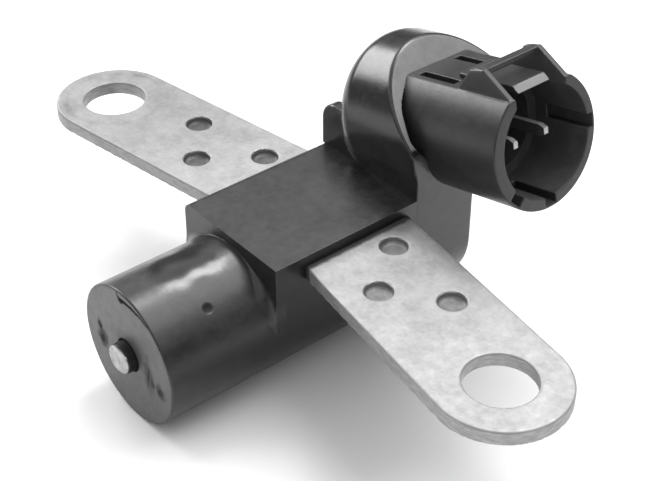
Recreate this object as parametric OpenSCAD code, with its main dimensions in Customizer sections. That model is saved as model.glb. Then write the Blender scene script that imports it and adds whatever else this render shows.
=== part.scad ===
// Crankshaft position sensor: an inductive pickup moulded round a steel fixing plate.
// Seating face of the plate at z = 0, fixing holes on the X axis, nose along -Y, connector towards +X.

/* [Fixing plate] */
// Distance between the two fixing holes
hole_spacing = 80; // [74:1:90]
// Diameter of the fixing holes
hole_d = 9; // [6.6:0.1:10]
// Width of each ear
ear_w = 17.1; // [15:0.1:19]
// Sheet thickness
plate_t = 2; // [1.6:0.1:2.5]
// Angle by which each ear is swept towards the nose
ear_sweep = 9; // [4:0.5:12]
// Diameter of the pressed dimples
dimple_d = 3.9; // [3:0.1:4.5]
// Depth of the pressed dimples
dimple_h = 1; // [0.6:0.1:1.2]

/* [Nose and block] */
// Radius of the nose, and half width of the block
nose_r = 9.74; // [9.5:0.02:10]
// Height of the nose axis above the seating face
nose_z = -7.42; // [-7.8:0.02:-7.3]
// Distance of the nose face in front of the hole line
nose_tip = 24.86; // [22:0.02:32]
// Distance of the block's front face in front of the hole line
block_front = 8.66; // [7.5:0.02:11]
// Height of the block's top above the seating face
block_top = 3.63; // [3.3:0.01:5]
// Distance of the rear body's front face behind the hole line
rear_front = 14.7; // [14.2:0.1:15]
// Distance of the rear end behind the hole line
rear_end = 25.6; // [25:0.1:30]

/* [Elbow head and connector] */
// Height of the elbow's tilt: angle of the connector axis above the plate
tilt = 13.3; // [8:0.1:18]
// Centre of the connector mouth along the plate
mouth_x = 21.81; // [20:0.01:26]
// Centre of the connector mouth behind the hole line
mouth_y = 25; // [24.6:0.1:26]
// Centre of the connector mouth above the seating face
mouth_z = 14.63; // [13.5:0.01:17]
// Radius of the elbow head
elbow_r = 10.7; // [10.3:0.05:11]
// Distance of the elbow's closed end behind the mouth
elbow_len = 29.2; // [28:0.1:30]
// Outer radius of the connector barrel
barrel_r = 9.04; // [8.6:0.02:9.4]
// Wall of the connector barrel
barrel_wall = 1.25; // [1:0.05:1.6]
// Depth of the connector socket
socket_h = 9.2; // [8:0.1:10]
// Depth of the narrower bore at the bottom of the socket
bore_h = 12.2; // [10.5:0.1:12.3]
// Width of the latch hood
hood_w = 10.84; // [9:0.02:11.4]
// Height of the latch hood above the connector axis
hood_h = 10.5; // [10:0.05:11.5]

/* [Pickup] */
// Diameter of the pole piece
pole_d = 4.2; // [3:0.1:5]
// Length of pole piece standing out of the nose face
pole_out = 1.6; // [0.8:0.1:2.5]
// Diameter of the magnet
magnet_d = 8; // [6:0.1:9]
// Length of the magnet
magnet_h = 10; // [8:0.5:11]
// Outer radius of the winding
coil_r = 7.2; // [6:0.1:7.5]
// Distance between the two terminals
pin_pitch = 5.5; // [4.8:0.1:6]
// Thickness of the terminal blades
pin_t = 0.8; // [0.6:0.05:1]
// Width of the terminal blades
pin_w = 1.6; // [1.2:0.1:2]
// Distance of the blade tips behind the mouth
pin_recess = 2.5; // [1.5:0.1:3.5]

/* [Hidden] */
$fn = 64;
eps = 0.01;
hx = hole_spacing / 2;
half_w = ear_w / 2;
socket_r = barrel_r - barrel_wall;
hood_y = hood_w / 2;
hood_t = 0.95;
slot_in = 2.8;
flat_w = sqrt(barrel_r * barrel_r - hood_y * hood_y);
// elbow centre from the connector axis, and the slanted flat: its place on the axis and slope
elbow_dy = -0.48;
elbow_dw = -0.34;
elbow_round = 4;
bore_r = socket_r - 1.39;
bevel_s = -12.71;
bevel_a = atan(0.81);
// stations of the pickup along the nose axis
face_y = -nose_tip;
flange_t = 1.5;
flange_r = nose_r - 0.9;
coil_y0 = face_y + flange_t;
coil_y1 = -7.5;
rear_flange_t = 1.5;
tail_y0 = coil_y1 + rear_flange_t;
tail_r = 5.6;
tail_y1 = 8;
core_r = 3.2;
tape_t = 0.25;
magnet_y0 = tail_y0 - 1;
leg_y = mouth_y - pin_pitch / 2;
leg_x = 2.75;
lead_d = 0.6;
lead_x = tail_r + lead_d / 2 + 0.15;
lead_y1 = tail_y1 + 3;
foot_x = lead_x - lead_d / 2 - 0.3;

// cylinder along Y on the nose axis, from y0 to y1
module ycyl(r, y0, y1, x = 0, z = nose_z)
    translate([x, y0, z]) rotate([-90, 0, 0]) cylinder(r = r, h = y1 - y0);

// connector frame: local +Z out of the mouth, local +Y towards the rear, local -X upwards
module at_mouth()
    translate([mouth_x, mouth_y, mouth_z]) rotate([0, 90 - tilt, 0]) children();

// box in the connector frame: s along the axis, y across, w upwards
module swbox(s0, s1, y0, y1, w0, w1)
    translate([-w1, y0, s0]) cube([w1 - w0, y1 - y0, s1 - s0]);

// one ear of the plate, from its hole to the middle
module ear_2d()
    intersection() {
        translate([hx, 0]) {
            circle(r = half_w);
            rotate(180 - ear_sweep) translate([0, -half_w]) square([hx + 10, ear_w]);
        }
        translate([0, -40]) square([hx + 40, 80]);
    }

// a pressed dimple: along the ear from the hole, and across it (positive towards the rear)
module dimple(along, across)
    translate([hx, 0, plate_t - dimple_h]) rotate(180 - ear_sweep)
        translate([along, -across, 0]) cylinder(d = dimple_d, h = plate_t);

module plate_half()
    difference() {
        linear_extrude(plate_t) ear_2d();
        translate([hx, 0, -1]) cylinder(d = hole_d, h = plate_t + 2);
        dimple(14.4, 3.3);
        dimple(20.6, -3.3);
        dimple(27.4, 3.3);
    }

module mounting_plate()
    color([0.78, 0.78, 0.77]) union() {
        plate_half();
        mirror([1, 0, 0]) plate_half();
    }

// steel core, its end standing out of the nose face
module pole_piece()
    color([0.75, 0.75, 0.74]) rotate([-90, 0, 0]) translate([0, -nose_z, 0]) rotate_extrude()
        polygon([[0, face_y - pole_out], [pole_d / 2 - 0.3, face_y - pole_out], [pole_d / 2, face_y - pole_out + 0.3],
                 [pole_d / 2, magnet_y0], [0, magnet_y0]]);

module magnet()
    color([0.30, 0.30, 0.31]) ycyl(magnet_d / 2, magnet_y0, magnet_y0 + magnet_h);

// coil former: front flange, core tube, rear flange and the tail that holds the magnet
module bobbin()
    color([0.20, 0.20, 0.20]) difference() {
        union() {
            ycyl(flange_r, face_y, coil_y0);
            ycyl(core_r, coil_y0 - eps, coil_y1 + eps);
            ycyl(coil_r + tape_t, coil_y1, tail_y0);
            ycyl(tail_r, tail_y0 - eps, tail_y1);
        }
        ycyl(pole_d / 2, face_y - 1, magnet_y0);
        ycyl(magnet_d / 2, magnet_y0, magnet_y0 + magnet_h);
        for (sx = [-1, 1]) ycyl(lead_d / 2, coil_y1 - 1, tail_y0 + 1, x = sx * lead_x);
    }

module coil()
    color([0.72, 0.42, 0.20]) difference() {
        ycyl(coil_r, coil_y0, coil_y1);
        ycyl(core_r, coil_y0 - 1, coil_y1 + 1);
        for (sx = [-1, 1]) ycyl(lead_d / 2, coil_y1 - 1, coil_y1 + 1, x = sx * lead_x);
    }

module coil_tape()
    color([0.80, 0.68, 0.35]) difference() {
        ycyl(coil_r + tape_t, coil_y0, coil_y1);
        ycyl(coil_r, coil_y0 - 1, coil_y1 + 1);
    }

// end of the winding, along the bobbin tail to the foot of its terminal
module lead(sx)
    color([0.72, 0.42, 0.20]) ycyl(lead_d / 2, coil_y1 - 1, lead_y1, x = sx * lead_x);
module lead_left() lead(-1);
module lead_right() lead(1);

// leg from the elbow down to the nose axis, and the foot forward to the bobbin tail
module terminal_tail(sx, z_top)
    union() {
        translate([sx * leg_x - pin_w / 2, leg_y - pin_t / 2, nose_z - pin_t / 2])
            cube([pin_w, pin_t, z_top - nose_z + pin_t / 2]);
        translate([sx > 0 ? leg_x - pin_w / 2 : -foot_x, tail_y1, nose_z - pin_t / 2])
            cube([foot_x - leg_x + pin_w / 2, leg_y + pin_t / 2 - tail_y1, pin_t]);
    }

// flat blade along the connector axis, with a pointed tip
module blade(y, s0)
    at_mouth() translate([0, y + pin_t / 2, 0]) rotate([90, 0, 0]) linear_extrude(pin_t)
        polygon([[-pin_w / 2, s0], [pin_w / 2, s0], [pin_w / 2, -pin_recess - 1], [pin_w / 2 - 0.45, -pin_recess],
                 [-pin_w / 2 + 0.45, -pin_recess], [-pin_w / 2, -pin_recess - 1]]);

// axis position and height above the leg at x
function s_at(x) = (x - mouth_x) / cos(tilt);
function z_at(x) = mouth_z + (x - mouth_x) * tan(tilt);

module terminal_front()
    color([0.82, 0.80, 0.74]) union() {
        blade(-pin_pitch / 2, s_at(leg_x - pin_w / 2));
        terminal_tail(1, z_at(leg_x));
    }

module terminal_rear()
    color([0.82, 0.80, 0.74]) union() {
        blade(pin_pitch / 2, s_at(-leg_x - pin_w / 2));
        translate([-leg_x - pin_w / 2, leg_y - pin_t / 2, z_at(-leg_x) - pin_t / 2])
            cube([pin_w, pin_pitch + pin_t, pin_t]);
        terminal_tail(-1, z_at(-leg_x));
    }

// solder round the end of a lead, against the foot of its terminal
module solder(sx)
    color([0.70, 0.70, 0.70]) difference() {
        ycyl(0.8, tail_y1 + 0.8, lead_y1 + 0.5, x = sx * (lead_x - 0.05));
        terminal_tail(sx, z_at(sx * leg_x));
        lead(sx);
    }
module solder_left() solder(-1);
module solder_right() solder(1);

// nose, with a narrow chamfer round its face, and the half-round underside running back to the rear end
module nose_form()
    union() {
        rotate([-90, 0, 0]) translate([0, -nose_z, 0]) rotate_extrude($fn = 96)
            polygon([[0, face_y], [nose_r - 0.35, face_y], [nose_r, face_y + 0.35], [nose_r, -block_front], [0, -block_front]]);
        intersection() {
            ycyl(nose_r, -block_front, rear_end);
            translate([-20, -block_front, nose_z - 20]) cube([40, block_front + rear_end, 20]);
        }
    }

// front wall of the rear body, beside the elbow, its outer top corner rounded
module side_wall()
    translate([-nose_r, rear_front + 2, block_top - 1]) rotate([90, 0, 0]) linear_extrude(2)
        union() {
            square([nose_r, 8.6 - block_top]);
            translate([2.6, 0]) square([nose_r - 2.6, 11.2 - block_top]);
            translate([2.6, 8.6 - block_top]) circle(r = 2.6);
        }

// round head of the elbow, with a rounded closed end, cut by the slanted flat
module elbow_form()
    at_mouth() translate([-elbow_dw, elbow_dy, 0]) difference() {
        rotate_extrude($fn = 96)
            polygon(concat([[0, -elbow_len], [elbow_r - elbow_round, -elbow_len]],
                           [for (a = [15:15:90]) [elbow_r - elbow_round + elbow_round * sin(a),
                                                  -elbow_len + elbow_round - elbow_round * cos(a)]],
                           [[elbow_r, -3], [0, -3]]));
        translate([0, 0, bevel_s]) rotate([0, -bevel_a, 0]) translate([-40, -40, 0]) cube(80);
    }

// block over the plate, riser and elbow, all cut off flush on the connector side
module block_form()
    difference() {
        union() {
            translate([-nose_r, -block_front, nose_z]) cube([2 * nose_r + 4, block_front + rear_end, block_top - nose_z]);
            translate([-4.6, rear_front, block_top - 1]) cube([nose_r + 8, rear_end - rear_front, z_at(0) - block_top + 1]);
            side_wall();
            elbow_form();
        }
        translate([nose_r, -20, -30]) cube([60, 80, 80]);
    }

// side outline of the latch hood: across the axis and along it
module hood_2d()
    polygon([[-5.5, -socket_h + 0.05], [-flat_w, -socket_h + 0.05], [-hood_h + 0.35, -6.9], [-hood_h, -4.4],
             [-flat_w, -0.3], [-flat_w + 0.3, -0.1], [-5.5, -0.1]]);

// connector barrel with the flat on top, hood, socket and keying grooves
module barrel_form()
    at_mouth() difference() {
        union() {
            difference() {
                translate([0, 0, -21]) cylinder(r = barrel_r, h = 21);
                swbox(-30, 5, -20, 20, flat_w, 30);
            }
            translate([0, hood_y - 0.15, 0]) rotate([90, 0, 0]) linear_extrude(hood_w - 0.3) hood_2d();
        }
        // socket, open on top between the cheeks of the hood
        translate([0, 0, -socket_h]) cylinder(r = socket_r, h = socket_h + 1);
        swbox(-socket_h, 2, -hood_y + hood_t, hood_y - hood_t, 0, 20);
        translate([0, 0, -bore_h]) cylinder(r = bore_r, h = bore_h);
        // slits in the flat, each side of the tongue, behind the hood
        swbox(-17.6, -10.9, -4.45, -3.2, flat_w - 1.3, 20);
        swbox(-17.8, -13.3, 2.1, 3.35, flat_w - 1.3, 20);
        // keying grooves in the mouth: below, below in front, behind
        for (a = [0, -45, 90]) rotate(a) swbox(-socket_h + 2, 2, -0.95, 0.95, -(barrel_r - 0.35), -4);
    }

// roof bar of the hood and the latch tongue under it
module latch_form()
    at_mouth() {
        swbox(-6, -4.5, -hood_y + 0.4, hood_y - 0.4, hood_h - 0.85, hood_h - 0.1);
        swbox(-socket_h - 0.7, -1.05, -slot_in, slot_in, 7.15, 8.05);
        swbox(-socket_h - 2.4, -socket_h - 0.3, -slot_in, slot_in, 6.5, 8.05);
    }

module housing()
    color([0.10, 0.10, 0.10]) difference() {
        union() {
            nose_form();
            block_form();
            barrel_form();
            latch_form();
        }
        mounting_plate();
        pole_piece();
        magnet();
        bobbin();
        coil();
        coil_tape();
        terminal_front();
        terminal_rear();
        lead_left();
        lead_right();
        solder_left();
        solder_right();
    }

housing();
mounting_plate();
pole_piece();
magnet();
bobbin();
coil();
coil_tape();
terminal_front();
terminal_rear();
lead_left();
lead_right();
solder_left();
solder_right();
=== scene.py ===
import math

import bmesh
import bpy
import numpy as np
from mathutils import Matrix, Quaternion, Vector


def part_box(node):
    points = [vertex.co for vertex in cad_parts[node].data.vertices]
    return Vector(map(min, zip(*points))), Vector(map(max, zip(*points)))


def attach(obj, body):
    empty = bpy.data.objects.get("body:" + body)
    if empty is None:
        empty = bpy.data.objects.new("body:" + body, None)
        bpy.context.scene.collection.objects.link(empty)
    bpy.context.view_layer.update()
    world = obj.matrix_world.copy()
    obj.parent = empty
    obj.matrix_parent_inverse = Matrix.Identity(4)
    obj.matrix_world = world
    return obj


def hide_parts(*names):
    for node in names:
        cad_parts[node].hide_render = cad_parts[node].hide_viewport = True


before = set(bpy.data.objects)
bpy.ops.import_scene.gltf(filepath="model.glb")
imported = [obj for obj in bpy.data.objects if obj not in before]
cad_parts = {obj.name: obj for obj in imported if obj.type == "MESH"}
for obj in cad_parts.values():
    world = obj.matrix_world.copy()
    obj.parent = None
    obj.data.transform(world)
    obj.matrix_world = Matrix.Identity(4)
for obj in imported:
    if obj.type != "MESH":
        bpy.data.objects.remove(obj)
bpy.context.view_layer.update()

MM = 0.001

# ---------------------------------------------------------------- sizes, in millimetres, in the part's frame
R_NOSE, Z_NOSE, TIP, REAR = 9.74, -7.42, -24.86, 25.6
BLOCK_FRONT, BLOCK_TOP, RISER_Y = -8.66, 3.63, 14.7
TILT = math.radians(13.3)
CT, ST = math.cos(TILT), math.sin(TILT)
MX, MY, MZ = 21.81, 25.0, 14.63
ER, EDY, EDW, E_END, E_BEV, E_K = 10.7, -0.48, -0.34, -29.2, -12.71, 0.81
BR, SR, SOCK, BORE = 9.04, 7.79, 9.2, 12.2
HOOD_Y, HOOD_T, HOOD_H, SLOT = 5.3, 0.95, 10.5, 2.8
FLAT_W = math.sqrt(BR * BR - 5.42 * 5.42)


# ---------------------------------------------------------------- signed distances
def ln(a, b):
    return np.sqrt(a * a + b * b)


def rmax(a, b, r):
    """Intersection whose outer edge is rounded to radius r."""
    return np.minimum(np.maximum(a, b), -r) + ln(np.maximum(a + r, 0), np.maximum(b + r, 0))


def rmin(a, b, r):
    """Union whose inner corner is filled to radius r."""
    return np.maximum(np.minimum(a, b), r) - ln(np.maximum(r - a, 0), np.maximum(r - b, 0))


def ease(v):
    v = np.clip(v, 0, 1)
    return v * v * (3 - 2 * v)


def slab(v, lo, hi):
    return np.maximum(lo - v, v - hi)


def rbox(u, v, t, lo, hi, r):
    q = [np.abs(c - (a + b) / 2) - ((b - a) / 2 - r) for c, a, b in zip((u, v, t), lo, hi)]
    out = np.sqrt(sum(np.maximum(c, 0) ** 2 for c in q))
    return out + np.minimum(np.maximum(np.maximum(q[0], q[1]), q[2]), 0) - r


def poly2(px, py, pts):
    """Signed distance to a closed outline."""
    d = np.full(px.shape, 1e9, px.dtype)
    sign = np.ones(px.shape, px.dtype)
    for i in range(len(pts)):
        (ax, ay), (bx, by) = pts[i], pts[i - 1]
        ex, ey = bx - ax, by - ay
        wx, wy = px - ax, py - ay
        t = np.clip((wx * ex + wy * ey) / (ex * ex + ey * ey), 0, 1)
        d = np.minimum(d, (wx - ex * t) ** 2 + (wy - ey * t) ** 2)
        c1, c2, c3 = py >= ay, py < by, ex * wy > ey * wx
        flip = (c1 & c2 & c3) | (~c1 & ~c2 & ~c3)
        sign = np.where(flip, -sign, sign)
    return sign * np.sqrt(d)


HOOD = [(-9.3, 5.5), (-9.3, FLAT_W + 0.1), (-6.9, HOOD_H - 0.35), (-4.5, HOOD_H), (-0.3, FLAT_W), (-0.1, FLAT_W - 0.3), (-0.1, 5.5)]


def connector(p):
    """Barrel with its flat, hood, socket, slits, keying grooves, roof bar and tongue, along its own axis."""
    s, v, w = p[:, 0], p[:, 1], p[:, 2]
    rad = ln(v, w)
    d = rmax(rad - BR, w - FLAT_W, 0.2)
    d = rmax(d, s, 0.2)
    d = np.maximum(d, -21 - s)
    hood = rmax(poly2(s, w, HOOD) + 0.14, np.abs(v) - HOOD_Y + 0.14, 0.2) - 0.14
    d = rmin(d, hood, 0.12)
    sock = np.maximum(ln(v - 0.3, w) - SR + 0.3, -SOCK - s)
    trench = np.maximum(np.maximum(np.abs(v) - (HOOD_Y - HOOD_T), -w), -SOCK - s)
    bore = np.maximum(rad - SR + 1.39, -BORE - s)
    d = rmax(d, -np.minimum(np.minimum(sock, trench), bore), 0.14)
    for v0, v1, s0, s1 in ((-4.45, -3.2, -17.6, -10.9), (2.1, 3.35, -17.8, -13.3)):
        slit = np.maximum(np.maximum(slab(v, v0, v1), FLAT_W - 1.5 - w), slab(s, s0, s1))
        d = rmax(d, -slit, 0.12)
    # keying grooves: below, below to the front, and at the rear side
    for along, across in ((-w, v), ((-w - v) * 0.70711, (w - v) * 0.70711), (v, w)):
        g = np.maximum(np.maximum(np.abs(across) - 0.95, slab(along, 4, BR - 0.35)), -SOCK + 2 - s)
        d = rmax(d, -g, 0.12)
    roof = rbox(s, v, w, (-6.0, -HOOD_Y + 0.3, HOOD_H - 0.9), (-4.45, HOOD_Y - 0.3, HOOD_H - 0.08), 0.16)
    # latch tongue, with a lead-in ramp on its end
    tongue = rbox(s, v, w, (-SOCK - 0.7, -SLOT, 7.15), (-1.05, SLOT, 8.05), 0.12)
    tongue = rmax(tongue, (s + 1.15 + w - 7.15) * 0.70711, 0.1)
    foot = rbox(s, v, w, (-SOCK - 2.4, -SLOT, 6.5), (-SOCK - 0.3, SLOT, 8.05), 0.2)
    return np.minimum(np.minimum(rmin(d, roof, 0.15), tongue), foot)


def lip(x, z):
    """Radius of the joint between the bobbin's face and the nose shell, and the width of its open part."""
    phi = np.degrees(np.arctan2(x, z - Z_NOSE))
    t = np.clip(phi / 38, 0, 1)
    shut = np.where(phi < 0, np.clip((-phi - 6) / 2, 0, 1), t)
    notch = np.clip(1 - np.abs(phi + 3) / 4, 0, 1)
    return 8.9 + 0.62 * np.where(phi < 0, shut, t * t * (3 - 2 * t)), 0.46 * (1 - shut * shut) + 0.35 * notch


def shell(p):
    """Nose and block, with the fillet between them."""
    x, y, z = p[:, 0], p[:, 1], p[:, 2]
    rad = ln(x, z - Z_NOSE)
    nose = rmax(rmax(rad - R_NOSE, TIP - y, 0.22), y - REAR, 0.6)
    block = rmax(rmax(x - R_NOSE, z - BLOCK_TOP, 0.03), -R_NOSE - x, 1.4)
    block = rmax(rmax(np.maximum(block, Z_NOSE - z), BLOCK_FRONT - y, 0.03), y - REAR, 0.6)
    front = np.maximum(rmax(rad - R_NOSE, TIP - y, 0.22), y - (BLOCK_FRONT + 0.2))
    high = np.clip((z - Z_NOSE) / R_NOSE, 0, 1)
    d = rmin(front, block, 0.06 + 1.6 * ease((1 - high) / 0.4) * ease(high / 0.35))
    d = np.minimum(d, nose)
    # open part of the joint round the bobbin's face
    edge, gap = lip(x, z)
    d = rmax(d, -np.maximum(np.maximum(rad - edge, edge - gap - rad), y - (TIP + 0.55)), 0.05)
    # seat of the bobbin's face
    d = np.maximum(d, -np.maximum(rad - 8.2, y - (TIP + 0.6)))
    # small dent in the side of the nose
    return rmax(d, 0.72 - np.sqrt((x - 6.67) ** 2 + (y + 16.7) ** 2 + (z - 0.25) ** 2), 0.22)


def rear_body(p):
    """Riser, its tab on the left, and the elbow with its slanted flat."""
    x, y, z = p[:, 0], p[:, 1], p[:, 2]
    s = (x - MX) * CT + (z - MZ) * ST
    w = -(x - MX) * ST + (z - MZ) * CT
    v = y - MY
    tab = np.maximum(np.maximum(rmax(-R_NOSE - x, z - 10.2, 2.6), x), BLOCK_TOP - 0.4 - z)
    tab = rmax(tab, slab(y, RISER_Y, RISER_Y + 2.0), 0.4)
    riser = rmax(rmax(x - R_NOSE - 0.012, RISER_Y - y, 0.3), y - REAR - 0.012, 0.6)
    riser = np.maximum(np.maximum(riser, -4.8 - x), slab(z, -7.3, 9.4))
    bevel = (s - E_BEV + E_K * (w - EDW)) / math.sqrt(1 + E_K * E_K)
    end = rmax(bevel, x - R_NOSE - 0.012, 0.9)
    elbow = rmax(ln(v - EDY, w - EDW) - ER - 0.12, E_END - 0.06 * w - s, 4.0)
    elbow = rmax(elbow, end, 0.4)
    # undercut round the root of the connector, at the front
    ring = BR - 0.4 + ease((7.2 - w) / 3.6) * ease((w + 3.0) / 4.0) * (1.1 + 0.75 * ease((4 - w) / 5))
    under = np.maximum(np.maximum(ln(v, w) - ring, -2.6 - end), np.maximum(v, slab(w, -3.4, 7)))
    body = np.maximum(rmin(riser, elbow, 0.3), x - R_NOSE - 0.012)
    return np.minimum(rmax(body, -under, 0.3), tab)


def bobbin(p):
    x, y, z = p[:, 0], p[:, 1], p[:, 2]
    rad = ln(x, z - Z_NOSE)
    edge, gap = lip(x, z)
    flange = rmax(rad - edge + gap, slab(y, TIP - 0.04, TIP + 1.5), 0.05)
    d = np.minimum(flange, np.maximum(rad - 3.2, slab(y, TIP + 1, -7)))
    d = np.minimum(d, rmax(rad - 7.45, slab(y, -7.5, -6), 0.1))
    d = np.minimum(d, rmax(rad - 5.6, slab(y, -6.5, 8), 0.2))
    d = rmax(d, -np.maximum(rad - 2.3, y - (TIP + 0.5)), 0.15)
    # nicks and scratches in the face: centre, half length, half width, depth, lean
    for mx, mz, ml, mw, dig, lean in ((-5.9, -8.4, 0.8, 0.4, 0.22, 0.5), (-6.3, -6.4, 0.6, 0.3, 0.16, -0.6), (4.5, -8.0, 1.5, 0.2, 0.14, 0.15),
                                      (5.4, -8.7, 0.8, 0.2, 0.12, -0.3), (7.0, -8.9, 0.6, 0.34, 0.2, 0.8)):
        along = (z - mz) * math.cos(lean) + (x - mx) * math.sin(lean)
        across = (x - mx) * math.cos(lean) - (z - mz) * math.sin(lean)
        q = np.sqrt((along / ml) ** 2 + (across / mw) ** 2 + ((y - TIP) / dig) ** 2)
        d = rmax(d, (1 - q) * mw * 0.6, 0.06)
    return d


POLE = [[float(c) / MM for c in q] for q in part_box("pole_piece")]


def pole(p):
    """Pole piece with a broken, slightly uneven end."""
    x, y, z = p[:, 0], p[:, 1], p[:, 2]
    rad = ln(x, z - Z_NOSE)
    end = POLE[0][1] - y + 0.05 * (x + 2.1) + 0.03 * np.sin(2.1 * x + 1.3 * z)
    d = rmax(rad - POLE[1][0], end, 0.32)
    d = np.maximum(d, y - POLE[1][1])
    return rmax(d, 0.5 - np.sqrt((x - 1.75) ** 2 + (y - POLE[0][1] + 0.1) ** 2 + (z - Z_NOSE - 1.3) ** 2), 0.1)


SWEEP = math.radians(9)
DIMPLES = ((14.4, 3.3), (20.6, -3.3), (27.4, 3.3))


def plate(p):
    x, y, z = np.abs(p[:, 0]), p[:, 1], p[:, 2]
    # along the ear from the hole, and across it towards the rear
    u = -(x - 40) * math.cos(SWEEP) + y * math.sin(SWEEP)
    t = (x - 40) * math.sin(SWEEP) + y * math.cos(SWEEP)
    ear = ln(np.minimum(u, 0), t) - 8.55
    ear = np.where(u > 0, np.abs(t) - 8.55, ear)
    d = rmax(ear, z - 2, 0.28)
    d = rmax(d, -z, 0.12)
    hole = ln(x - 40, y) - 4.5
    d = rmax(d, -hole, 0.22)
    for a, c in DIMPLES:
        q = ln(u - a, t - c)
        d = rmax(d, rmin(z - 1.1, 1.88 - q, 0.6), 0.15)
    return d


# ---------------------------------------------------------------- mesh of a signed distance
def gradient(f, p, e):
    g = np.empty_like(p)
    for k in range(3):
        q = p.copy(); q[:, k] += e
        r = p.copy(); r[:, k] -= e
        g[:, k] = f(q) - f(r)
    return g / np.maximum(np.linalg.norm(g, axis=1, keepdims=True), 1e-9)


def in_chunks(f, p, n=400000):
    return np.concatenate([f(p[i:i + n]) for i in range(0, len(p), n)])


def skin(f, xs, ys, zs):
    """Vertices, quads and normals of f = 0, on a grid with the given stations."""
    axes = [np.asarray(a, np.float32) for a in (xs, ys, zs)]
    nx, ny, nz = map(len, axes)
    reach = max(float(np.max(np.diff(a))) for a in axes)
    # coarse pass: only cells near the surface are worked out
    step = 4
    sub = [np.unique(np.concatenate([np.arange(0, len(a), step), [len(a) - 1]])) for a in axes]
    cg = np.stack(np.meshgrid(*[a[i] for a, i in zip(axes, sub)], indexing="ij"), -1).reshape(-1, 3)
    cd = in_chunks(f, cg).reshape([len(i) for i in sub])
    near = np.abs(cd) < reach * step * 1.8
    val = np.full((nx, ny, nz), 9.0, np.float32)
    idx = [np.searchsorted(i, np.arange(len(a)), side="right") - 1 for a, i in zip(axes, sub)]
    lo = np.ix_(*idx)
    val[cd[lo] < 0] = -9.0
    grown = near.copy()
    for ax in range(3):
        for sh in (1, -1):
            grown |= np.roll(near, sh, ax)
    want = grown[lo]
    ii = np.nonzero(want)
    pts = np.stack([axes[k][ii[k]] for k in range(3)], -1)
    val[ii] = in_chunks(f, pts)
    inside = val < 0
    corner = [(a, b, c) for a in (0, 1) for b in (0, 1) for c in (0, 1)]
    cnt = np.zeros((nx - 1, ny - 1, nz - 1), np.int8)
    for a, b, c in corner:
        cnt += inside[a:nx - 1 + a, b:ny - 1 + b, c:nz - 1 + c]
    act = (cnt > 0) & (cnt < 8)
    cell = np.full(act.shape, -1, np.int64)
    ai = np.nonzero(act)
    cell[ai] = np.arange(len(ai[0]))
    acc = np.zeros((len(ai[0]), 3), np.float64)
    num = np.zeros(len(ai[0]))
    for e0 in corner:
        for k in range(3):
            if e0[k]:
                continue
            e1 = list(e0); e1[k] = 1
            i0 = tuple(ai[m] + e0[m] for m in range(3))
            i1 = tuple(ai[m] + e1[m] for m in range(3))
            v0, v1 = val[i0], val[i1]
            hit = (v0 < 0) != (v1 < 0)
            t = np.where(hit, v0 / np.where(hit, v0 - v1, 1), 0)
            pos = np.stack([axes[m][i0[m]].astype(np.float64) for m in range(3)], -1)
            pos[:, k] += t * (axes[k][i1[k]] - axes[k][i0[k]])
            acc[hit] += pos[hit]
            num[hit] += 1
    vert = acc / num[:, None]
    quads = []
    for k in range(3):
        a, b = (k + 1) % 3, (k + 2) % 3
        sl0 = [slice(1, -1)] * 3; sl0[k] = slice(0, -1)
        sl1 = [slice(1, -1)] * 3; sl1[k] = slice(1, None)
        change = inside[tuple(sl0)] != inside[tuple(sl1)]
        ci = np.nonzero(change)
        base = [ci[m] + (0 if m == k else 1) for m in range(3)]
        solid = inside[tuple(sl0)][ci]
        ring = []
        for da, db in ((-1, -1), (0, -1), (0, 0), (-1, 0)):
            at = [base[0], base[1], base[2]]
            at[a] = base[a] + da; at[b] = base[b] + db
            ring.append(cell[tuple(at)])
        q = np.stack(ring, -1)
        q[~solid] = q[~solid][:, ::-1]
        quads.append(q)
    quads = np.concatenate(quads)
    small = min(float(np.min(np.diff(a))) for a in axes)
    start = vert.copy()
    for _ in range(4):
        d = f(vert)
        move = -d[:, None] * gradient(f, vert, 0.02)
        vert = vert + np.clip(move, -0.3, 0.3) * 0.9
        away = vert - start
        far = np.linalg.norm(away, axis=1, keepdims=True)
        vert = start + away * np.minimum(1, 1.2 * small / np.maximum(far, 1e-9))
    return vert, quads, gradient(f, vert, 0.03)


def dress(name, mesh, mat, slot, *nodes):
    ob = bpy.data.objects.new(name, mesh)
    bpy.context.scene.collection.objects.link(ob)
    mesh.materials.append(mat)
    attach(ob, "root")
    if nodes:
        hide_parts(*nodes)
    return ob


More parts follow.
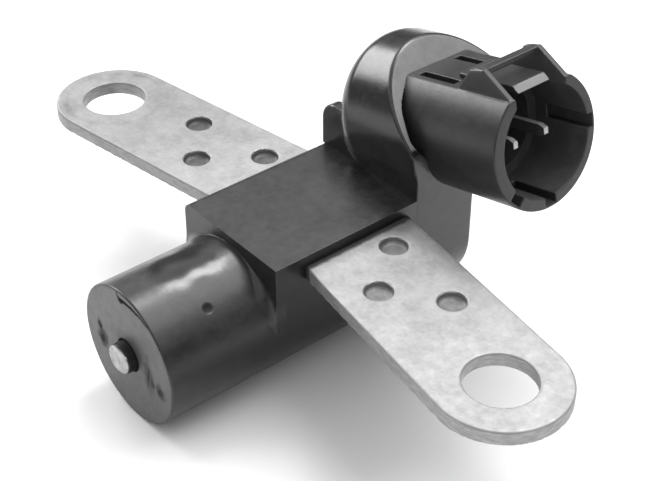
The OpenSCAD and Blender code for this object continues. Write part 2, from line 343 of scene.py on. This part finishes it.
def solid(name, f, xs, ys, zs, mat, slot, *nodes, limit=None, place=None):
    """Mesh of f = 0; place is a turn and a shift, in millimetres, from f's own axes to the part's."""
    vert, quads, nor = skin(f, xs, ys, zs)
    mesh = bpy.data.meshes.new(name)
    mesh.from_pydata(vert.tolist(), [], quads.tolist())
    mesh.validate()
    if limit and 2 * len(quads) > limit:
        tmp = bpy.data.objects.new(name + "_dense", mesh)
        bpy.context.scene.collection.objects.link(tmp)
        m = tmp.modifiers.new("thin", "DECIMATE")
        m.ratio = limit / (2 * len(quads))
        thin = bpy.data.meshes.new_from_object(tmp.evaluated_get(bpy.context.evaluated_depsgraph_get()))
        bpy.data.objects.remove(tmp)
        mesh = thin
    co = np.empty(len(mesh.vertices) * 3, np.float32)
    mesh.vertices.foreach_get("co", co)
    co = co.reshape(-1, 3).astype(np.float64)
    nor = gradient(f, co, 0.03)
    if place:
        turn, shift = place
        co, nor = co @ turn.T + shift, nor @ turn.T
    mesh.vertices.foreach_set("co", (co * MM).astype(np.float32).ravel())
    mesh.polygons.foreach_set("use_smooth", np.ones(len(mesh.polygons), bool))
    mesh.update()
    ends = np.empty(len(mesh.loops), np.int32)
    mesh.loops.foreach_get("vertex_index", ends)
    sides = np.empty(len(mesh.polygons), np.int32)
    mesh.polygons.foreach_get("loop_total", sides)
    flat = np.empty(len(mesh.polygons) * 3, np.float32)
    mesh.polygons.foreach_get("normal", flat)
    flat = np.repeat(flat.reshape(-1, 3), sides, axis=0)
    nor = nor[ends]
    # at a sharp crease the face keeps its own normal
    crease = np.einsum("ij,ij->i", nor, flat) < 0.8
    nor[crease] = flat[crease]
    mesh.normals_split_custom_set(nor.tolist())
    mesh.update()
    print(name, "vertices", len(mesh.vertices), "faces", len(mesh.polygons), "quads before", len(quads))
    return dress(name, mesh, mat, slot, *nodes)


def prism(bm, outline, place, thick, edge):
    """A flat strip: an outline in (u, v), given its place by place(u, v, t), with broken edges."""
    new = bmesh.new()
    lo = [new.verts.new(place(u, v, -thick / 2)) for u, v in outline]
    hi = [new.verts.new(place(u, v, thick / 2)) for u, v in outline]
    new.faces.new(lo[::-1])
    new.faces.new(hi)
    for i in range(len(outline)):
        new.faces.new((lo[i - 1], lo[i], hi[i], hi[i - 1]))
    bmesh.ops.recalc_face_normals(new, faces=new.faces)
    bmesh.ops.bevel(new, geom=new.edges[:], offset=edge * MM, segments=3, profile=0.5, affect="EDGES", clamp_overlap=True)
    tmp = bpy.data.meshes.new("strip")
    new.to_mesh(tmp)
    new.free()
    bm.from_mesh(tmp)
    bpy.data.meshes.remove(tmp)


def terminal(name, side, leg_x, mat, node):
    """Blade in the socket, leg down through the elbow and foot forward to the coil, one bent strip."""
    z_leg = MZ + (leg_x - MX) * math.tan(TILT)
    s0 = (leg_x - 0.8 - MX) / CT
    bm = bmesh.new()
    prism(bm, [(s0, -0.8), (-3.4, -0.8), (-2.5, -0.45), (-2.5, 0.45), (-3.4, 0.8), (s0, 0.8)],
          lambda u, v, t: Vector((MX + u * CT - v * ST, MY + side * 2.75 + t, MZ + u * ST + v * CT)) * MM, 0.8, 0.1)
    prism(bm, [(leg_x - 0.8, -7.82), (leg_x + 0.8, -7.82), (leg_x + 0.8, z_leg), (leg_x - 0.8, z_leg)],
          lambda u, v, t: Vector((u, MY - 2.75 + t, v)) * MM, 0.8, 0.1)
    if side > 0:
        prism(bm, [(leg_x - 0.8, MY - 3.15), (leg_x + 0.8, MY - 3.15), (leg_x + 0.8, MY + 3.15), (leg_x - 0.8, MY + 3.15)],
              lambda u, v, t: Vector((u, v, z_leg + t)) * MM, 0.8, 0.1)
    x0, x1 = (leg_x - 0.8, 5.45) if leg_x > 0 else (-5.45, leg_x + 0.8)
    prism(bm, [(x0, 8), (x1, 8), (x1, MY - 2.35), (x0, MY - 2.35)], lambda u, v, t: Vector((u, v, Z_NOSE + t)) * MM, 0.8, 0.1)
    mesh = bpy.data.meshes.new(name)
    bm.to_mesh(mesh)
    bm.free()
    return dress(name, mesh, mat, "terminal_tin", node)


def stations(*spans):
    """Grid stations from (start, end, step) spans that follow each other."""
    out = []
    for a, b, h in spans:
        n = max(1, round((b - a) / h))
        out += [a + (b - a) * i / n for i in range(n)]
    return np.array(out + [spans[-1][1]])


# ---------------------------------------------------------------- materials
def material(name):
    m = bpy.data.materials.new(name)
    m.use_nodes = True
    t = m.node_tree
    bsdf = t.nodes["Principled BSDF"]
    co = t.nodes.new("ShaderNodeTexCoord")
    return m, t, bsdf, co


def noise(t, co, scale, detail=4, rough=0.6, stretch=None):
    n = t.nodes.new("ShaderNodeTexNoise")
    n.inputs["Scale"].default_value = scale
    n.inputs["Detail"].default_value = detail
    n.inputs["Roughness"].default_value = rough
    if stretch:
        mp = t.nodes.new("ShaderNodeMapping")
        mp.inputs["Rotation"].default_value = stretch[0]
        mp.inputs["Scale"].default_value = stretch[1]
        t.links.new(co.outputs["Object"], mp.inputs["Vector"])
        t.links.new(mp.outputs["Vector"], n.inputs["Vector"])
    else:
        t.links.new(co.outputs["Object"], n.inputs["Vector"])
    return n


def ramp(t, src, *stops):
    r = t.nodes.new("ShaderNodeValToRGB")
    e = r.color_ramp.elements
    while len(e) < len(stops):
        e.new(0.5)
    for el, (pos, val) in zip(e, stops):
        el.position = pos
        el.color = (val, val, val, 1) if not hasattr(val, "__len__") else (*val, 1)
    t.links.new(src, r.inputs["Fac"])
    return r


def bump(t, src, bsdf, strength, depth):
    b = t.nodes.new("ShaderNodeBump")
    b.inputs["Strength"].default_value = strength
    b.inputs["Distance"].default_value = depth
    t.links.new(src, b.inputs["Height"])
    t.links.new(b.outputs["Normal"], bsdf.inputs["Normal"])
    return b


def op(t, kind, *args):
    n = t.nodes.new("ShaderNodeMath")
    n.operation = kind
    for i, v in enumerate(args):
        if isinstance(v, bpy.types.NodeSocket):
            t.links.new(v, n.inputs[i])
        else:
            n.inputs[i].default_value = v
    return n.outputs[0]


def span(t, src, lo, hi, a=0.0, b=1.0):
    """Smooth step of src from a at lo to b at hi."""
    n = t.nodes.new("ShaderNodeMapRange")
    n.interpolation_type = "SMOOTHSTEP"
    for k, v in (("From Min", lo), ("From Max", hi), ("To Min", a), ("To Max", b)):
        n.inputs[k].default_value = v
    t.links.new(src, n.inputs["Value"])
    return n.outputs["Result"]


def blend(t, mask, a, b):
    return op(t, "ADD", op(t, "MULTIPLY", a, op(t, "SUBTRACT", 1.0, mask)), op(t, "MULTIPLY", b, mask))


def facing(t, co, direction):
    """How nearly the surface faces a direction of the part."""
    n = t.nodes.new("ShaderNodeVectorMath")
    n.operation = "DOT_PRODUCT"
    n.inputs[1].default_value = direction
    t.links.new(co.outputs["Normal"], n.inputs[0])
    return n.outputs["Value"]


def where(t, co, axis):
    n = t.nodes.new("ShaderNodeSeparateXYZ")
    t.links.new(co.outputs["Object"], n.inputs["Vector"])
    return n.outputs[axis]


def spot(t, co, centre, radii, ragged=0.0, scale=500, soft=0.12):
    """Mask of a patch on the surface, 1 inside, with a ragged edge; sizes in millimetres."""
    mp = t.nodes.new("ShaderNodeMapping")
    mp.inputs["Location"].default_value = [-c / r for c, r in zip(centre, radii)]
    mp.inputs["Scale"].default_value = [1 / (r * MM) for r in radii]
    t.links.new(co.outputs["Object"], mp.inputs["Vector"])
    n = t.nodes.new("ShaderNodeVectorMath")
    n.operation = "LENGTH"
    t.links.new(mp.outputs["Vector"], n.inputs[0])
    d = n.outputs["Value"]
    if ragged:
        d = op(t, "MULTIPLY_ADD", op(t, "SUBTRACT", noise(t, co, scale, 4, 0.6).outputs["Fac"], 0.5), ragged, d)
    return span(t, d, 1 - soft, 1 + soft, 1.0, 0.0)


def relief(t, height, bsdf, depth):
    """Bump whose height is in metres once multiplied by depth."""
    return bump(t, height, bsdf, 1.0, depth)


def plastic(name, dark, light, r0, r1, grain=0.25, extra=None):
    m, t, bsdf, co = material(name)
    big = noise(t, co, 220, 5, 0.65)
    speck = noise(t, co, 1500, 3, 0.6)
    mix = op(t, "MULTIPLY_ADD", op(t, "SUBTRACT", speck.outputs["Fac"], 0.5), 0.45, big.outputs["Fac"])
    c = ramp(t, mix, (0.3, dark), (0.72, light))
    mid = noise(t, co, 900, 4, 0.6)
    r = ramp(t, mid.outputs["Fac"], (0.3, r0), (0.7, r1))
    fine = noise(t, co, 3500, 3, 0.5)
    base, rough, high = c.outputs["Color"], r.outputs["Color"], op(t, "MULTIPLY", fine.outputs["Fac"], grain * 0.04)
    if extra:
        base, rough, high = extra(t, co, base, rough, high)
    t.links.new(base, bsdf.inputs["Base Color"])
    t.links.new(rough, bsdf.inputs["Roughness"])
    relief(t, high, bsdf, 0.001)
    bsdf.inputs["Specular IOR Level"].default_value = 0.5
    return m


def metal(name, stops, r0, r1, scale=300, stretch=None, grain=0.2, metallic=1.0, extra=None):
    m, t, bsdf, co = material(name)
    big = noise(t, co, scale, 6, 0.68)
    speck = noise(t, co, scale * 7, 3, 0.6, stretch)
    mix = op(t, "MULTIPLY_ADD", op(t, "SUBTRACT", speck.outputs["Fac"], 0.5), 0.4, big.outputs["Fac"])
    c = ramp(t, mix, *stops)
    mid = noise(t, co, scale * 3, 4, 0.6, stretch)
    r = ramp(t, mid.outputs["Fac"], (0.3, r0), (0.7, r1))
    fine = noise(t, co, scale * 9, 3, 0.5, stretch)
    base, rough, high = c.outputs["Color"], r.outputs["Color"], op(t, "MULTIPLY", fine.outputs["Fac"], grain * 6 / scale)
    if extra:
        base, rough, high = extra(t, co, base, rough, high)
    t.links.new(base, bsdf.inputs["Base Color"])
    t.links.new(rough, bsdf.inputs["Roughness"])
    relief(t, high, bsdf, 0.001)
    bsdf.inputs["Metallic"].default_value = metallic
    return m


def nose_wear_light_and_shade(t, co, base, rough, high):
    """Polished, slightly sunken patch on top of the nose; painted shade in the dent; a matte bevel on the elbow painted
    paler as painted light; the rear side's faces towards +X painted paler as painted light, and all other faces towards
    +X painted darker as painted shade.
    """
    patch = spot(t, co, (0.0, -15.4, 2.0), (4.7, 4.5, 4.2), 0.9, 420, 0.2)
    sunk = spot(t, co, (0.0, -15.4, 2.0), (4.9, 4.9, 4.4), 0.0, 420, 0.5)
    slow = op(t, "SUBTRACT", noise(t, co, 240, 1, 0.4).outputs["Fac"], 0.5)
    beat = op(t, "COSINE", op(t, "MULTIPLY_ADD", where(t, co, "Y"), 2 * math.pi / (5.6 * MM), 2 * math.pi * 15.4 / 5.6))
    across = op(t, "MULTIPLY", op(t, "TANH", op(t, "MULTIPLY_ADD", where(t, co, "X"), 1 / (1.2 * MM), -3.2 / 1.2)), -0.05)
    wave = op(t, "MULTIPLY_ADD", slow, 0.07, op(t, "MULTIPLY", beat, across))
    high = blend(t, patch, high, 0.0)
    high = op(t, "ADD", high, op(t, "MULTIPLY", wave, sunk))
    rough = blend(t, patch, rough, 0.19)
    base = blend(t, patch, base, 0.014)
    # painted shade: the dent in the side of the nose is painted darker and matte
    dent_shade = spot(t, co, (6.35, -16.7, -0.05), (0.62, 0.62, 0.62), 0.3, 1500, 0.2)
    base, rough = blend(t, dent_shade, base, 0.004), blend(t, dent_shade, rough, 0.75)
    rear = span(t, where(t, co, "Y"), 0.012, 0.014)
    rough = op(t, "MULTIPLY", rough, span(t, where(t, co, "Y"), 0.012, 0.014, 1.0, 0.7))
    # painted light: the elbow's slanted bevel, picked by the way it faces, is painted paler and matte
    bevel = op(t, "MULTIPLY", span(t, facing(t, co, (0.611, 0, 0.791)), 0.94, 0.985), rear)
    bevel_light_tone = ramp(t, noise(t, co, 300, 5, 0.7).outputs["Fac"], (0.3, 0.09), (0.7, 0.15))
    base = blend(t, bevel, base, bevel_light_tone.outputs["Color"])
    rough = blend(t, bevel, rough, 0.42)
    # painted shade and painted light: faces towards +X are painted darker, and those on the rear side are painted paler
    side = op(t, "MULTIPLY", span(t, facing(t, co, (1, 0, 0)), 0.9, 0.98), rear)
    base = op(t, "MULTIPLY", base, span(t, facing(t, co, (1, 0, 0)), 0.9, 0.98, 1.0, 0.4))
    rear_side_light_tone = ramp(t, noise(t, co, 420, 5, 0.65).outputs["Fac"], (0.3, 0.028), (0.7, 0.042))
    base = blend(t, side, base, rear_side_light_tone.outputs["Color"])
    return base, rough, high


def tongue_highlight_and_socket_light(t, co, base, rough, high):
    """Painted highlight on the lead-in ramp of the latch tongue, and painted light inside the socket."""
    off = t.nodes.new("ShaderNodeVectorMath")
    off.operation = "SUBTRACT"
    off.inputs[1].default_value = (17.4 * MM, MY * MM, 13.6 * MM)
    t.links.new(co.outputs["Object"], off.inputs[0])
    out = t.nodes.new("ShaderNodeVectorMath")
    out.operation = "DOT_PRODUCT"
    t.links.new(off.outputs["Vector"], out.inputs[0])
    t.links.new(co.outputs["Normal"], out.inputs[1])
    # painted light: faces inside the socket are painted paler
    inner = op(t, "MULTIPLY", span(t, out.outputs["Value"], -0.002, -0.004), spot(t, co, (17.4, MY, 13.6), (11.2, 11.2, 11.2)))
    socket_light_tone = ramp(t, noise(t, co, 350, 5, 0.65).outputs["Fac"], (0.3, 0.042), (0.7, 0.07))
    base = blend(t, inner, base, socket_light_tone.outputs["Color"])
    # painted highlight: the up-facing lead-in ramp at the tongue's end is painted pale
    ramp_highlight = spot(t, co, (19.0, 25.0, 21.9), (1.4, 3.4, 1.2), 0.3, 900)
    ramp_highlight = op(t, "MULTIPLY", ramp_highlight, span(t, facing(t, co, (0.525, 0, 0.85)), 0.85, 0.97))
    return blend(t, ramp_highlight, base, 0.16), rough, high


def blade_tarnish_shade_and_highlights(t, co, base, rough, high):
    """Broad sides of the blades are tarnished and painted darker as painted shade; their upper edges and ends are
    painted bright as painted highlights.
    """
    # painted highlight on the upper edges and ends, picked by the way they face; painted shade on the broad sides
    edge = span(t, facing(t, co, (-ST, 0, CT)), 0.5, 0.9)
    lit_edges = op(t, "MAXIMUM", edge, span(t, facing(t, co, (CT, 0, ST)), 0.3, 0.7))
    tarnish = noise(t, co, 700, 4, 0.6).outputs["Fac"]
    much = op(t, "MULTIPLY_ADD", lit_edges, 0.7, op(t, "MULTIPLY_ADD", tarnish, 0.2, 0.1))
    return op(t, "MULTIPLY", base, much), rough, high


def face_stains_and_shade(t, co, base, rough, high):
    """Dark smears round the nicks in the nose's face, and painted shade up and to the right of the pole piece."""
    # the last entry is painted shade up and to the right of the pole piece; the others are smears round the nicks
    for centre, radii, much in (((-5.8, TIP, -8.2), (1.1, 2, 1.5), 0.95), ((-6.3, TIP, -6.2), (0.5, 2, 0.9), 0.7), ((4.6, TIP, -8.0), (0.9, 2, 2.4), 0.7),
                                ((7.0, TIP, -8.9), (0.9, 2, 1.1), 0.85), ((0.6, TIP, -6.0), (3.2, 2, 2.6), 0.25)):
        mask = op(t, "MULTIPLY", spot(t, co, centre, radii, 1.5, 1000, 0.5), much)
        base, rough = blend(t, mask, base, 0.008), blend(t, mask, rough, 0.7)
    return base, rough, high


def sheet_edges(t, co, base, rough, high):
    """Sheared sides and hole walls are duller; painted shade lies in the dimples and where the sheet leaves the
    moulding.
    """
    up = facing(t, co, (0, 0, 1))
    flat = span(t, op(t, "ABSOLUTE", up), 0.25, 0.8)
    tear = noise(t, co, 700, 4, 0.6, ((0, 0, 0), (1, 1, 5)))
    side = ramp(t, tear.outputs["Fac"], (0.3, 0.26), (0.7, 0.42))
    base = blend(t, flat, side.outputs["Color"], base)
    # faint ring left by the bolt head
    run = op(t, "SUBTRACT", op(t, "ABSOLUTE", where(t, co, "X")), 40 * MM)
    away = op(t, "SQRT", op(t, "ADD", op(t, "MULTIPLY", run, run), op(t, "MULTIPLY", where(t, co, "Y"), where(t, co, "Y"))))
    away = op(t, "MULTIPLY_ADD", op(t, "SUBTRACT", tear.outputs["Fac"], 0.5), 0.0006, away)
    ring = op(t, "MULTIPLY", span(t, away, 0.0066, 0.007), span(t, away, 0.0078, 0.0074))
    ring = op(t, "MULTIPLY", ring, span(t, noise(t, co, 160, 3, 0.6).outputs["Fac"], 0.4, 0.65))
    base = op(t, "MULTIPLY", base, op(t, "MULTIPLY_ADD", ring, -0.2, 1.0))
    # painted shade: the dimples are painted darker
    sunk = op(t, "MULTIPLY", span(t, up, 0.0, 0.2), span(t, where(t, co, "Z"), 0.0019, 0.0014))
    dimple_shade_tone = ramp(t, noise(t, co, 900, 4, 0.6).outputs["Fac"], (0.3, 0.12), (0.7, 0.2))
    # the painted shade in the dimples is deeper on the left ear, and the left ear is painted darker towards its end
    dimple_shade_by_side = op(t, "MULTIPLY", dimple_shade_tone.outputs["Color"], span(t, where(t, co, "X"), 0.01, -0.01, 1.0, 0.6))
    base = blend(t, sunk, base, dimple_shade_by_side)
    base = op(t, "MULTIPLY", base, span(t, where(t, co, "X"), -0.01, -0.034, 1.0, 0.83))
    # painted shade: the sheet is painted dark and matte where it leaves the moulding
    out = op(t, "MULTIPLY_ADD", op(t, "SUBTRACT", noise(t, co, 600, 4, 0.6).outputs["Fac"], 0.5), 0.0008, op(t, "ABSOLUTE", where(t, co, "X")))
    junction_shade = op(t, "MULTIPLY", span(t, out, 0.0109, 0.0102), 0.85)
    base = blend(t, junction_shade, base, 0.03)
    return base, blend(t, junction_shade, rough, 0.6), high


def dark_shank(t, co, base, rough, high):
    """Bare ground end on an oxidised shank."""
    end = span(t, facing(t, co, (0, -1, 0)), 0.55, 0.85)
    return blend(t, end, 0.05, base), blend(t, end, 0.5, rough), high


def wound(t, co, base, rough, high):
    """Turns of wire, side by side."""
    w = t.nodes.new("ShaderNodeTexWave")
    w.wave_type, w.bands_direction, w.wave_profile = "BANDS", "Y", "SIN"
    w.inputs["Scale"].default_value = 1100
    w.inputs["Distortion"].default_value = 0.6
    t.links.new(co.outputs["Object"], w.inputs["Vector"])
    return base, rough, op(t, "ADD", high, op(t, "MULTIPLY", w.outputs["Fac"], 0.1))


black = plastic("black_moulding", 0.008, 0.024, 0.29, 0.38, extra=nose_wear_light_and_shade)
socket_mat = plastic("connector_moulding", 0.015, 0.026, 0.34, 0.44, extra=tongue_highlight_and_socket_light)
bobbin_mat = plastic("bobbin_moulding", 0.052, 0.082, 0.36, 0.48, extra=face_stains_and_shade)
zinc = metal("zinc_plate", ((0.26, 0.23), (0.5, 0.305), (0.74, 0.37)), 0.48, 0.62, 260, metallic=0.65, extra=sheet_edges)
steel = metal("pole_steel", ((0.3, 0.24), (0.7, 0.5)), 0.32, 0.48, 900, extra=dark_shank)
tin = metal("tinned_strip", ((0.3, 0.42), (0.7, 0.54)), 0.3, 0.4, 1200, grain=0.05, metallic=0.55, extra=blade_tarnish_shade_and_highlights)
copper = metal("copper_wire", ((0.3, (0.55, 0.25, 0.12)), (0.7, (0.70, 0.36, 0.18))), 0.3, 0.45, 1500)
winding = metal("copper_winding", ((0.3, (0.50, 0.22, 0.10)), (0.7, (0.68, 0.34, 0.16))), 0.25, 0.4, 1500, extra=wound)
magnet_mat = metal("magnet_body", ((0.3, 0.18), (0.7, 0.28)), 0.45, 0.6, 1200, metallic=0.8)
solder_mat = metal("solder_joint", ((0.3, 0.5), (0.7, 0.66)), 0.3, 0.45, 1500)
tape_mat = plastic("tape_film", (0.50, 0.33, 0.08), (0.62, 0.42, 0.12), 0.25, 0.35)

# ---------------------------------------------------------------- pieces
solid("housing_moulding", shell,
      stations((-10.2, -8.2, 0.15), (-8.2, -1.8, 0.4), (-1.8, 5.4, 0.18), (5.4, 7.4, 0.13), (7.4, 9.3, 0.3), (9.3, 9.62, 0.12), (9.62, 9.86, 0.04), (9.86, 10.1, 0.12)),
      stations((-25.3, -24.1, 0.1), (-24.1, -17.7, 0.45), (-17.7, -15.7, 0.13), (-15.7, -10.9, 0.45), (-10.9, -8.78, 0.15), (-8.78, -8.54, 0.04), (-8.54, 24.8, 0.6), (24.8, 26, 0.2)),
      stations((-17.6, -1.0, 0.36), (-1.0, 3.5, 0.15), (3.5, 3.76, 0.04), (3.76, 4.0, 0.12)),
      black, "housing_plastic", "housing", limit=198000)
solid("housing_rear", rear_body,
      stations((-10.4, 9.2, 0.24), (9.2, 16, 0.17)), stations((13, 15.6, 0.15), (15.6, 24, 0.2), (24, 36.6, 0.3)), stations((-7.8, 2.8, 0.5), (2.8, 27, 0.22)),
      black, "housing_plastic", "housing", limit=198000)
solid("connector_socket", connector,
      stations((-21.6, -18, 0.4), (-18, 0.5, 0.16)), stations((-9.4, 9.4, 0.16)), stations((-9.4, 5.4, 0.18), (5.4, 11, 0.14)),
      socket_mat, "housing_plastic", "housing", limit=196000,
      place=(np.array([[CT, 0, -ST], [0, 1, 0], [ST, 0, CT]]), np.array([MX, MY, MZ])))
solid("plate_sheet", plate,
      stations((-49.4, 49.4, 0.3)), stations((-9.6, 15.9, 0.3)), stations((-0.4, 0.7, 0.25), (0.7, 2.4, 0.15)),
      zinc, "plate_zinc", "mounting_plate", limit=180000)
solid("bobbin_former", bobbin,
      stations((-9.8, 9.8, 0.13)), stations((-25.1, -23.2, 0.1), (-23.2, 8.6, 0.8)), stations((-17.2, 2.4, 0.13)),
      bobbin_mat, "bobbin_plastic", "bobbin", limit=180000)
solid("pole_core", pole,
      stations((-2.5, 2.5, 0.11)), stations((-27, -24.4, 0.11), (-24.4, POLE[1][1] + 0.6, 0.5)), stations((Z_NOSE - 2.5, Z_NOSE + 2.5, 0.11)),
      steel, "pole_steel", "pole_piece", limit=60000)

terminal("terminal_blade_front", -1, 2.75, tin, "terminal_front")
terminal("terminal_blade_rear", 1, -2.75, tin, "terminal_rear")

for n, mat in (("magnet", magnet_mat), ("coil", winding), ("coil_tape", tape_mat), ("lead_left", copper), ("lead_right", copper), ("solder_left", solder_mat), ("solder_right", solder_mat)):
    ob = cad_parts[n]
    if ob.material_slots:
        for sl in ob.material_slots:
            sl.material = mat
    else:
        ob.data.materials.append(mat)

# ---------------------------------------------------------------- floor, light, camera
bpy.ops.mesh.primitive_plane_add(size=6, location=(0, 0, -0.01722))
floor = bpy.context.object
floor.name = "floor"
fm, ft, fb, fc = material("pale_floor")
fb.inputs["Base Color"].default_value = (0.80, 0.80, 0.80, 1)
fb.inputs["Roughness"].default_value = 0.8
fb.inputs["Specular IOR Level"].default_value = 0.2
floor.data.materials.append(fm)


def softbox(name, direction, distance, size, power, target=(0, 0.005, 0.002)):
    l = bpy.data.lights.new(name, "AREA")
    l.shape = "RECTANGLE"
    l.size, l.size_y = size
    l.energy = power
    o = bpy.data.objects.new(name, l)
    bpy.context.scene.collection.objects.link(o)
    d = Vector(direction).normalized()
    o.location = Vector(target) + d * distance
    o.rotation_euler = (-d).to_track_quat("-Z", "Y").to_euler()
    return o


softbox("light_left", (-0.875, -0.07, 0.47), 0.6, (0.36, 0.26), 2.75)
softbox("light_high", (-0.30, 0.43, 0.85), 0.7, (0.19, 0.19), 1.6)
softbox("light_over", (0.10, 0.45, 0.89), 0.7, (0.62, 0.50), 3.3)

world = bpy.data.worlds.new("studio")
bpy.context.scene.world = world
world.use_nodes = True
wt = world.node_tree
wc = wt.nodes.new("ShaderNodeTexCoord")
wx = wt.nodes.new("ShaderNodeSeparateXYZ")
wt.links.new(wc.outputs["Generated"], wx.inputs["Vector"])
wr = ramp(wt, wx.outputs["Z"], (0.0, 0.12), (0.38, 0.2), (0.48, 0.75), (0.58, 1.35), (0.75, 1.1), (1.0, 1.0))
wt.links.new(wr.outputs["Color"], wt.nodes["Background"].inputs["Color"])
wt.nodes["Background"].inputs["Strength"].default_value = 1.0

cam = bpy.data.cameras.new("camera")
cam.sensor_fit = "HORIZONTAL"
cam.sensor_width = 36
cam.lens = 79.58
cam.clip_start, cam.clip_end = 0.01, 20
cam_ob = bpy.data.objects.new("camera", cam)
bpy.context.scene.collection.objects.link(cam_ob)
turn = Vector((2.0412, 0.9604, -0.4832))
rot = Quaternion(turn.normalized(), turn.length).to_matrix()
axes = Matrix((rot[0], -rot[1], -rot[2])).transposed()
cam_ob.matrix_world = Matrix.Translation(Vector((119.94, -92.02, 111.46)) * MM) @ axes.to_4x4()
bpy.context.scene.camera = cam_ob
bpy.context.scene.view_settings.view_transform = "Standard"

bpy.context.view_layer.update()
